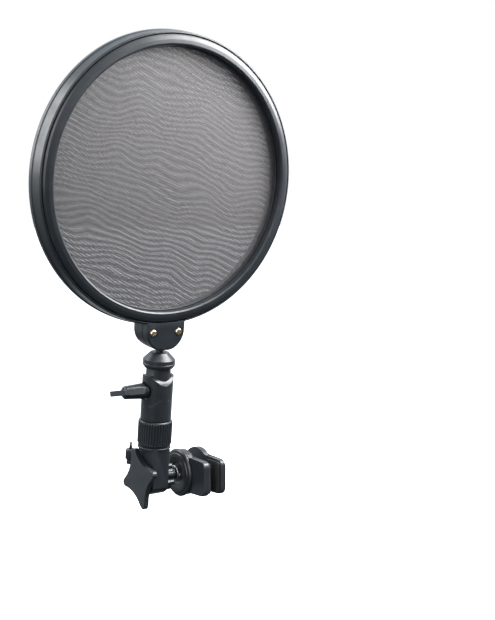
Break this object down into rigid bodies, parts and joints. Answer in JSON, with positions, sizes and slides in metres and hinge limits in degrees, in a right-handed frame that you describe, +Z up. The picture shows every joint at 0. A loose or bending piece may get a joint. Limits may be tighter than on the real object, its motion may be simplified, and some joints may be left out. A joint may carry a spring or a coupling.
{
  "type": "pop filter",
  "caption": "Round double-layer fabric pop filter on a ball joint and short telescopic arm, with a star-knob jaw clamp that grips a thin rod.",
  "frame": {"origin": "middle of the fixed jaw pad's face, where the gripped rod bears", "axes": "+Z up; +X along the pivot bolt from the star knob towards the moving jaw; the screen's front faces -Y"},
  "size_m": [0.15, 0.0569, 0.247],
  "materials": {
    "black_plastic": "satin dark slate-black moulded plastic with a very fine texture",
    "jaw_rubber": "matte ribbed rubber",
    "steel": "zinc-plated steel",
    "dark_steel": "blackened steel",
    "brass": "pale nickel-washed brass",
    "cup_nylon": "natural nylon",
    "screen_fabric": "fine open-weave grey nylon, see-through"
  },
  "bodies": {
    "clamp": {"clamp_body": "black_plastic", "clamp_disc": "black_plastic", "fixed_jaw_pad": "jaw_rubber", "guide_pin": "steel", "bolt_washer": "steel"},
    "jaw": {"jaw_plate": "black_plastic", "moving_jaw_pad": "jaw_rubber", "jaw_nut": "steel"},
    "knob": {"star_knob": "black_plastic", "pivot_bolt": "steel"},
    "arm": {"pivot_knuckle": "black_plastic", "pivot_hub": "black_plastic", "spacer_bush": "black_plastic", "swivel_screw": "steel", "lug_stud": "dark_steel"},
    "lug_nut_body": {"lug_nut": "black_plastic"},
    "collar": {"fluted_collar": "black_plastic"},
    "turret": {"sleeve": "black_plastic", "thread_insert": "brass"},
    "wing": {"wing_screw": "black_plastic", "wing_stud": "steel", "pressure_pad": "brass"},
    "mast": {"mast_shaft": "black_plastic"},
    "stud": {"ball_stud": "black_plastic"},
    "cup": {"ball_cup": "cup_nylon"},
    "screen": {"rear_ring": "black_plastic", "front_ring": "black_plastic", "front_hoop": "black_plastic", "spacer_hoop": "black_plastic", "front_mesh": "screen_fabric", "rear_mesh": "screen_fabric", "socket_cover": "black_plastic", "socket_screw_left": "brass", "socket_screw_right": "brass", "socket_insert_left": "brass", "socket_insert_right": "brass"}
  },
  "joints": [
    {"name": "arm_pivot", "type": "hinge", "parent": "clamp", "child": "arm", "pos_m": [-0.022, 0.018, 0], "axis": [1, 0, 0], "range_deg": [-97, 83]},
    {"name": "knob_turn", "type": "hinge", "parent": "clamp", "child": "knob", "pos_m": [-0.022, 0.018, 0], "axis": [1, 0, 0], "range_deg": [-1440, 1080]},
    {"name": "jaw_slide", "type": "slide", "parent": "clamp", "child": "jaw", "axis": [1, 0, 0], "range_m": [-0.00242, 0.00322]},
    {"name": "lug_nut_turn", "type": "hinge", "parent": "arm", "child": "lug_nut_body", "pos_m": [-0.0231, 0.03891, 0.00861], "axis": [0, -0.1219, 0.9925], "continuous": true},
    {"name": "collar_turn", "type": "hinge", "parent": "arm", "child": "collar", "pos_m": [-0.022, 0.01508, 0.02382], "axis": [0, -0.1219, 0.9925], "range_deg": [-30, 150]},
    {"name": "arm_swivel", "type": "hinge", "parent": "arm", "child": "turret", "pos_m": [-0.022, 0.01434, 0.02978], "axis": [0, -0.1219, 0.9925], "continuous": true},
    {"name": "wing_turn", "type": "hinge", "parent": "turret", "child": "wing", "pos_m": [-0.03, 0.01214, 0.04774], "axis": [-1, 0, 0], "range_deg": [0, 180]},
    {"name": "mast_slide", "type": "slide", "parent": "turret", "child": "mast", "axis": [0, -0.1219, 0.9925], "range_m": [-0.003, 0.007]},
    {"name": "stud_swivel", "type": "hinge", "parent": "mast", "child": "stud", "pos_m": [-0.022, 0.01118, 0.05558], "axis": [0, -0.1219, 0.9925], "continuous": true},
    {"name": "ring_roll", "type": "hinge", "parent": "stud", "child": "cup", "pos_m": [-0.022, 0.0084, 0.07821], "axis": [0, 0.9925, 0.1219], "range_deg": [-8, 8]},
    {"name": "ring_tilt", "type": "hinge", "parent": "cup", "child": "screen", "pos_m": [-0.022, 0.0084, 0.07821], "axis": [1, 0, 0], "range_deg": [-11, 11]}
  ],
  "couplings": [
    {"joint": "jaw_slide", "follows": "knob_turn", "m_per_rad": -0.00012732}
  ]
}
